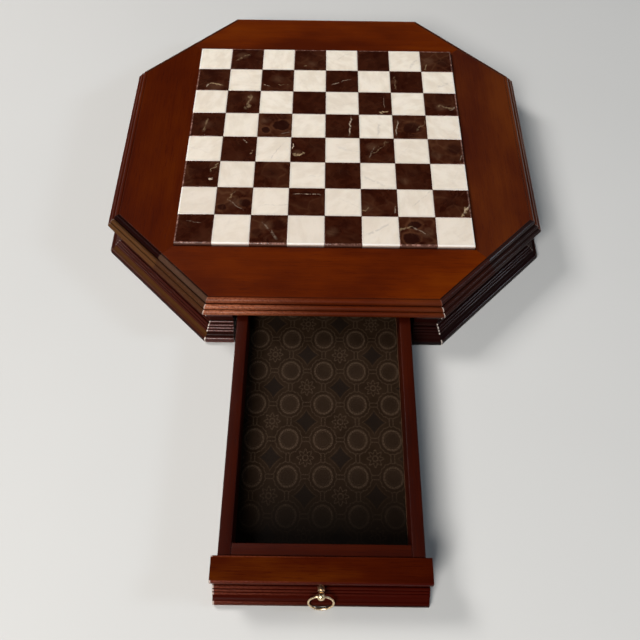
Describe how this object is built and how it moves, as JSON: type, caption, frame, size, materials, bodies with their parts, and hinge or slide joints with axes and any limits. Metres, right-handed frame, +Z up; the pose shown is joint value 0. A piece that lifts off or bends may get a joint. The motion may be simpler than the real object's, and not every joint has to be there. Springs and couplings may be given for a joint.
{
  "type": "chess box with drawer",
  "caption": "Eight-sided wooden box with a raised stone chessboard let into its top and one long drawer with a ring pull.",
  "frame": {"origin": "middle of the flat underside of the eight-sided case", "axes": "+Z up, +Y from the drawer side to the back, +X to the right seen from the drawer side; the drawer stands open towards -Y"},
  "size_m": [0.382, 0.5936, 0.0495],
  "materials": {
    "top_wood": "glossy red-brown stain and lacquer",
    "moulding_wood": "glossy dark red-brown stain and lacquer",
    "drawer_wood": "satin red-brown stain",
    "plywood": "bare plywood",
    "plain_wood": "bare softwood",
    "slate": "sawn",
    "white_onyx": "polished",
    "red_marble": "polished",
    "liner_paper": "printed, matt",
    "brass": "polished",
    "screw_steel": "zinc plated"
  },
  "bodies": {
    "case": {"top_board_front": "top_wood", "top_board_right": "top_wood", "top_board_back": "top_wood", "top_board_left": "top_wood", "bed_panel": "plywood", "slab_plate": "slate", "light_squares": "white_onyx", "dark_squares": "red_marble", "wall_front_left": "moulding_wood", "wall_front_right": "moulding_wood", "wall_right": "moulding_wood", "wall_back": "moulding_wood", "wall_left": "moulding_wood", "corner_wall_front_right": "moulding_wood", "corner_wall_back_right": "moulding_wood", "corner_wall_back_left": "moulding_wood", "corner_wall_front_left": "moulding_wood", "bottom_panel": "plywood", "bottom_screws": "screw_steel", "top_cleats": "plain_wood", "drawer_guide_left": "plain_wood", "drawer_guide_right": "plain_wood", "drawer_stop": "plain_wood"},
    "drawer": {"drawer_front": "moulding_wood", "drawer_inner_front": "drawer_wood", "drawer_back": "drawer_wood", "drawer_side_left": "drawer_wood", "drawer_side_right": "drawer_wood", "drawer_bottom": "plywood", "drawer_liner": "liner_paper", "drawer_front_screws": "screw_steel", "pull_screw": "screw_steel", "pull_post": "brass"},
    "ring": {"pull_ring": "brass"}
  },
  "joints": [
    {"name": "drawer_slide", "type": "slide", "parent": "case", "child": "drawer", "axis": [0, 1, 0], "range_m": [-0.029, 0.209]},
    {"name": "ring_swing", "type": "hinge", "parent": "drawer", "child": "ring", "pos_m": [0, -0.39715, 0.0176], "axis": [-1, 0, 0], "range_deg": [0, 165]}
  ]
}
